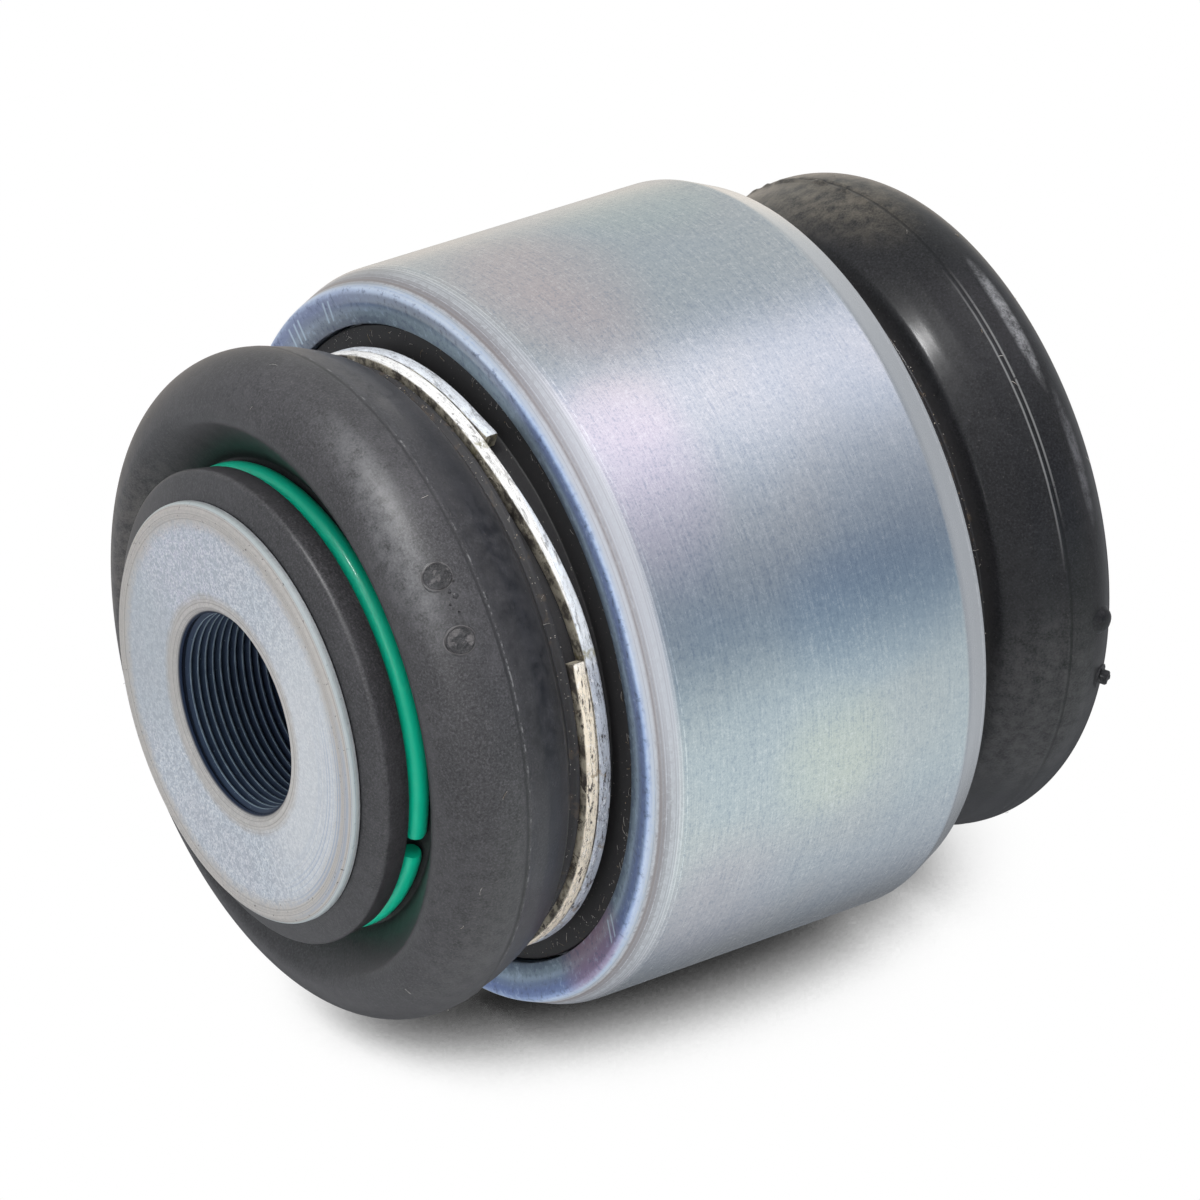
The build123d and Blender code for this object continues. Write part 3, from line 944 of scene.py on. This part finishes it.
    def dome(self, angle):
        """The smooth bump that a mould vent leaves."""
        rings = [(0.95, -0.15), (0.80, 0.02), (0.72, 0.10), (0.62, 0.26), (0.48, 0.38), (0.30, 0.46), (0.12, 0.49)]
        return self.knob("dome", self.on_bulge(angle, 25.0), rings, 2)

    def sprue(self, angle):
        """The torn end of a sprue, standing in a shallow ring."""
        rings = [(0.80, -0.15), (0.74, 0.04), (0.52, 0.02), (0.42, 0.08), (0.42, 0.36), (0.36, 0.50), (0.16, 0.46)]
        return self.knob("sprue", self.on_bulge(angle, 34.0), rings, 4, 0.05, 3, 14)

    def lint(self, seed):
        """Fine fibres caught on the flange, along the groove and on the bulge."""
        rng = np.random.default_rng(seed)
        points, faces = [], []
        thickness = 0.013
        for index in range(130):
            angle = rng.uniform(-180, 180)
            kind = index % 10
            if kind < 7:
                base = Vector(around(angle, rng.uniform(18.1, 18.85), 11.06))
                lift = Vector((0, 0, 1))
            elif kind < 9:
                base = Vector(around(angle, 17.4, rng.uniform(13.7, 14.1)))
                lift = Vector(around(angle, 1, 0.3))
            else:
                base, lift = self.on_bulge(angle, rng.uniform(-20, 60))[:2]
            length = rng.uniform(0.15, 0.6)
            heading = Vector(rng.normal(size=3))
            heading = (heading - lift * heading.dot(lift)).normalized()
            curl = lift.cross(heading) * rng.uniform(-0.8, 0.8)
            path = [
                base + heading * length * t + curl * length * t * t + lift * (0.02 + 0.45 * length * t * (1.1 - t))
                for t in np.linspace(0, 1, 6)
            ]
            start = len(points)
            for step, spot in enumerate(path):
                ahead = (path[min(step + 1, 5)] - path[max(step - 1, 0)]).normalized()
                across = ahead.cross(lift).normalized() * thickness
                over = ahead.cross(across).normalized() * thickness
                points += [spot + across, spot - across * 0.5 + over * 0.87, spot - across * 0.5 - over * 0.87]
            tube = [*quads(6, 3), (0, 2, 1), (15, 16, 17)]
            faces += [tuple(start + corner for corner in face) for face in tube]
        return piece_from("lint", [tuple(p) for p in points], faces, 60.0)

    def crumbs(self, seed):
        """Grains of dirt on the flange and in the gap between the coiled ring and the shoulder."""
        rng = np.random.default_rng(seed)
        points, faces = [], []
        corners = [Vector(v) for v in ((1, 0, 0), (-1, 0, 0), (0, 1, 0), (0, -1, 0), (0, 0, 1), (0, 0, -1))]
        sides = [(0, 2, 4), (2, 1, 4), (1, 3, 4), (3, 0, 4), (2, 0, 5), (1, 2, 5), (3, 1, 5), (0, 3, 5)]
        for index in range(520):
            angle = rng.uniform(-180, 180)
            if index % 5 < 3:
                spot = Vector(around(angle, rng.uniform(17.25, 17.55), rng.uniform(13.75, 14.35)))
            else:
                spot = Vector(around(angle, rng.uniform(17.9, 18.85), 11.07))
            start = len(points)
            for corner in corners:
                points.append(spot + corner * rng.uniform(0.4, 1.0) * rng.uniform(0.02, 0.075))
            faces += [tuple(start + j for j in side) for side in sides]
        return piece_from("crumbs", [tuple(p) for p in points], faces, 20.0)

    def add_marks(self, boot, marks, slot):
        """Joins small pieces to a boot, in one of its material slots."""
        joined = bmesh.new()
        joined.from_mesh(boot.data)
        for mark in marks:
            count = len(joined.faces)
            joined.from_mesh(mark.data)
            joined.faces.ensure_lookup_table()
            for face in joined.faces[count:]:
                face.material_index = slot
            bpy.data.objects.remove(mark)
        joined.to_mesh(boot.data)
        joined.free()

    def fluff(self):
        """Lint and grains of dirt: off-white to yellow-brown."""
        finish = Finish("lint and dirt")
        kind = finish.noise(0.9, 2.0, 0.6)
        pale = finish.colours(finish.ease(kind, 0.45, 0.62), (0.42, 0.40, 0.37), (0.20, 0.14, 0.07))
        shade = finish.colours(finish.ease(finish.noise(3.0), 0.45, 0.6) * 0.6, pale, (0.09, 0.08, 0.07))
        return finish.close(shade, 0.8)

    def rubber(self, name, black, roughness, dustiness, seams, pips, patches, gloss=0.0):
        """Matte rubber with a fine grain, dusty on the flange, with brown dirt below the shoulder.

        seams are the pale scuffed lines beside the parting line, pips the places of pin marks, patches the worn and
        dusty places, with painted light, painted sheen and painted shade among them, and gloss the weight of a
        polished skin."""
        settings = bpy.context.scene.bush_boots
        finish = Finish(name)
        ease, spot, band, noise = finish.ease, finish.spot, finish.band, finish.noise
        grain = noise(7.5, 2.0, 0.75)
        mottle = noise(1.3, 3.0, 0.6)
        bloom = noise(0.16, 2.0, 0.5)
        flaws = noise(1.6, 4.0, 0.7, (1.0, 1.0, 0.3))
        low = ease(finish.height, 14.9, 14.2)
        deep = tuple(0.3 * channel for channel in black)
        pale = tuple(2.3 * channel for channel in black)
        marks = []
        # Each patch is dust, or painted light, painted sheen or painted shade, blotched by the mottle.
        for *place, share, tint in patches:
            worn = spot(*place) * ease(mottle + (grain - 0.5) * 0.6, 0.15, 0.85)
            marks.append((worn * share, tint))
        rough_spots = 0.0
        for angle, level in pips:
            mark = spot(angle, level, 3.0, 1.05)
            rough_spots = ease(mark, 0.35, 0.5) + rough_spots
            rim = band(mark, 0.30, 0.42, 0.06) + ease(mottle, 0.56, 0.62) * ease(mark, 0.5, 0.7)
            marks += [(ease(mark, 0.0, 0.5) * 0.5, deep), (rim * 0.45, (0.14, 0.13, 0.13))]
        parting = finish.height - PARTING
        marks.append((band(parting, 0.15, 0.28, 0.05) * 0.6, deep))
        for level, threshold, angle, width in seams:
            scuffs = ease(flaws, threshold, threshold + 0.10) * spot(angle, finish.z, width, 1.0)
            flecks = band(parting, level - 0.03, level + 0.03, 0.04) * scuffs
            marks.append((flecks * 0.6, (0.20, 0.20, 0.20)))
        specks = ease(noise(5.5, 2.0, 0.5, start=(40.0, 0.0, 0.0)), 0.70, 0.76)
        dirt = band(finish.height, 13.6, 14.3, 0.12) * ease(mottle, 0.54, 0.66)
        shade = finish.layers(
            black,
            (ease(grain, 0.50, 0.32) * 0.8, deep),
            (ease(grain, 0.50, 0.70) * 0.8, pale),
            (ease(bloom, 0.40, 0.60) * ease(mottle, 0.3, 0.7) * 0.35, pale),
            (low * 0.8, (0.020, 0.019, 0.020)),
            *marks,
            (specks * (0.12 + low * 0.7) * (2 * dustiness), settings.dust),
            (dirt * 0.3, (0.11, 0.075, 0.045)),
        )
        rough = roughness + grain * 0.12 + low * 0.2
        relief = grain * 0.008 + mottle * 0.012 + rough_spots * noise(4.0, 3.0, 0.7) * 0.20
        skin = {"Specular_IOR_Level": 0.5 - 0.6 * gloss, "Coat_Weight": 0.5 * gloss, "Coat_Roughness": 0.2}
        return finish.close(shade, rough, 0.0, relief, **skin)


class BUSH_OT_rings(bpy.types.Operator):
    """Builds the coiled wire rings on the boots' beads and the open green rings on their collars"""

    bl_idname = "bush.rings"
    bl_label = "Wire rings"

    def execute(self, context):
        settings = context.scene.bush_rings
        coating = self.coating(settings)
        green = self.green(settings)
        for end, turn in (("front", lambda piece: piece), ("rear", turned_over)):
            coil = turn(self.coil(settings, f"wire_ring_{end}"))
            dressed(coil, "housing", coating, "wire_ring_coating", f"{end}_outer_ring")
            ring = turn(self.neck_ring(settings, f"neck_wire_{end}"))
            dressed(ring, "collars", green, "neck_ring_coating", f"{end}_neck_ring")
        return {"FINISHED"}

    def coil(self, settings, name):
        """Flat wire in just under two turns: one beside the flange, a short step, and one beside the shoulder."""
        half_width = settings.width / MM / 2
        half_height = settings.height / MM / 2
        groove = 16.687
        clearance = 0.04
        first_height = 12.25
        first_end = -46.1
        last_end = -91.5
        middle = groove + clearance + half_height
        rise = 2 * half_width + 0.03
        turn = 360 + last_end - first_end
        step = 360 - turn
        whole = 2 * turn + step
        corners = [(-half_height, -half_width, 0.1), (half_height, -half_width, 0.16)]
        corners += [(half_height, half_width, 0.16), (-half_height, half_width, 0.1)]
        outline = eased(corners, 3)
        rng = np.random.default_rng(5)
        waves = [(k, rng.uniform(0, 2 * pi), 0.012 / k**0.3) for k in (3, 5, 9, 14, 23, 37, 61)]
        sections = []
        for along in np.linspace(0, whole, 900):
            share = min(max((along - turn) / step, 0.0), 1.0)
            height = first_height + rise * (1 - cos(pi * share)) / 2
            lift = 0.25 * max(0.0, 1 - along / 8) ** 2 + 0.12 * max(0.0, 1 - (whole - along) / 5) ** 2
            wave = sum(a * sin(k * radians(along) + p) for k, p, a in waves)
            slim = 1.0 if 0.3 < along < whole - 0.3 else 0.93
            radius = middle + lift + wave
            sections.append(
                [around(first_end + along, radius + r * slim, height + wave + z * slim) for r, z in outline]
            )
        return swept(name, sections, 50.0)

    def neck_ring(self, settings, name):
        """Round wire bent to an open ring."""
        wire = settings.neck_wire / MM
        gap_angle = -130.2
        gap = 6.0
        radius = 13.127
        height = 21.75
        steps = 280
        sections = []
        round_wire = np.linspace(0, 2 * pi, 20, endpoint=False)
        for index in range(steps + 1):
            angle = gap_angle + gap / 2 + (360.0 - gap) * index / steps
            slim = wire * (1.0 if 0 < index < steps else 0.86)
            sections.append([around(angle, radius + slim * cos(a), height + slim * sin(a)) for a in round_wire])
        return swept(name, sections, 60.0)

    def coating(self, settings):
        """Flaked coating: bluish white to grey beside the flange, cream beside the shoulder, cracked and dirty, with
        painted shade on the wire's sides.
        """
        finish = Finish("flaked coating")
        ease, spot, band, noise, most = finish.ease, finish.spot, finish.band, finish.noise, finish.most
        normal = finish.add("NewGeometry", {}, {}, "Normal")
        outward = finish.vector("NORMALIZE", finish.combine(finish.x, finish.y, 0.0), (0.0, 0.0, 0.0))
        facing = finish.add("VectorMath", {"operation": "DOT_PRODUCT"}, {0: normal, 1: outward}, "Value")
        second = ease(finish.height, 12.62, 12.72)
        lower = ease(finish.angle, -86.0, -96.0)
        patches = noise(1.2, 4.0, 0.7, (0.7, 0.7, 1.6))
        worn = ease(patches, 0.40, 0.60)
        chips = noise(3.2, 3.0, 0.7, (0.8, 0.8, 1.2), (0.0, 5.0, 0.0))
        cracks = ease(noise(1.7, 3.0, 0.75, (0.5, 0.5, 2.2), (9.0, 0.0, 0.0)), 0.60, 0.64)
        split = noise(1.0, 4.0, 0.75, (0.5, 0.5, 6.0), (4.0, 0.0, 0.0))
        ends = spot(-47.0, finish.z, 1.3, 1.0) + spot(-90.5, finish.z, 1.2, 1.0)
        dirt = ease(noise(1.8, 3.0, 0.6, start=(0.0, 30.0, 0.0)), 0.60, 0.70)
        cream = finish.colours(lower, settings.coating, (0.70, 0.62, 0.50))
        outer_side = finish.layers(
            (0.70, 0.75, 0.82),
            (worn * 0.45, settings.bare),
            (lower * 0.75, (0.30, 0.32, 0.37)),
            (most(second, (1 - lower) * 0.3), cream),
            (ease(chips, 0.58, 0.66) * 0.5, (0.80, 0.79, 0.78)),
            (ease(chips, 0.42, 0.34) * (0.25 + lower * 0.15), (0.26, 0.26, 0.28)),
        )
        # Painted shade: the wire's sides, which face along the axis into the gaps, are darker than its outer face, and
        # darker still where worn.
        worn_and_shaded_sides = finish.colours(worn, (0.42, 0.38, 0.30), (0.08, 0.07, 0.06))
        shade = finish.layers(
            worn_and_shaded_sides,
            (ease(facing, 0.35, 0.75), outer_side),
            (cracks * (0.35 + lower * 0.6), (0.06, 0.05, 0.045)),
            (band(split, 0.545, 0.565, 0.01) * (0.5 + lower * 0.4), (0.05, 0.04, 0.035)),
            (ends * ease(chips, 0.40, 0.58) * 0.7, (0.20, 0.18, 0.09)),
            (dirt * (0.15 + lower * 0.5), (0.22, 0.16, 0.09)),
        )
        relief = chips * 0.05 + patches * 0.04 - cracks * 0.06
        return finish.close(shade, 0.52, 0.0, relief, Specular_IOR_Level=0.45)

    def green(self, settings):
        """Green semi-gloss coating, slightly scuffed."""
        finish = Finish("green coating")
        scuff = finish.noise(1.2, 4.0, 0.6)
        shade = finish.colours(finish.ease(scuff, 0.5, 0.8) * 0.5, settings.green, (0.02, 0.62, 0.36))
        skin = {"Specular_IOR_Level": 0.25, "Coat_Weight": 0.15, "Coat_Roughness": 0.12}
        return finish.close(shade, 0.34 + scuff * 0.12, 0.0, scuff * 0.02, **skin)


class BUSH_PT_panel(bpy.types.Panel):
    """Lists the pieces and their settings"""

    bl_label = "Ball joint bush"
    bl_idname = "BUSH_PT_panel"
    bl_space_type = "VIEW_3D"
    bl_region_type = "UI"
    bl_category = "Bush"

    def draw(self, context):
        for name in SETTINGS:
            box = self.layout.box()
            box.operator(f"bush.{name}")
            settings = getattr(context.scene, f"bush_{name}")
            for setting in settings.__annotations__:
                box.prop(settings, setting)


SETTINGS = {
    "stage": StageSettings,
    "sleeve": SleeveSettings,
    "housing": HousingSettings,
    "boots": BootSettings,
    "rings": WireSettings,
}
OPERATORS = (BUSH_OT_stage, BUSH_OT_sleeve, BUSH_OT_housing, BUSH_OT_boots, BUSH_OT_rings)
CLASSES = (*SETTINGS.values(), *OPERATORS, BUSH_PT_panel)


def register():
    for cls in CLASSES:
        bpy.utils.register_class(cls)
    for name, group in SETTINGS.items():
        setattr(bpy.types.Scene, f"bush_{name}", bpy.props.PointerProperty(type=group))


def unregister():
    for name in SETTINGS:
        delattr(bpy.types.Scene, f"bush_{name}")
    for cls in reversed(CLASSES):
        bpy.utils.unregister_class(cls)


def main():
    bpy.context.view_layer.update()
    register()
    bpy.ops.bush.stage()
    bpy.ops.bush.sleeve()
    bpy.ops.bush.housing()
    bpy.ops.bush.boots()
    bpy.ops.bush.rings()


if __name__ == "__main__":
    main()
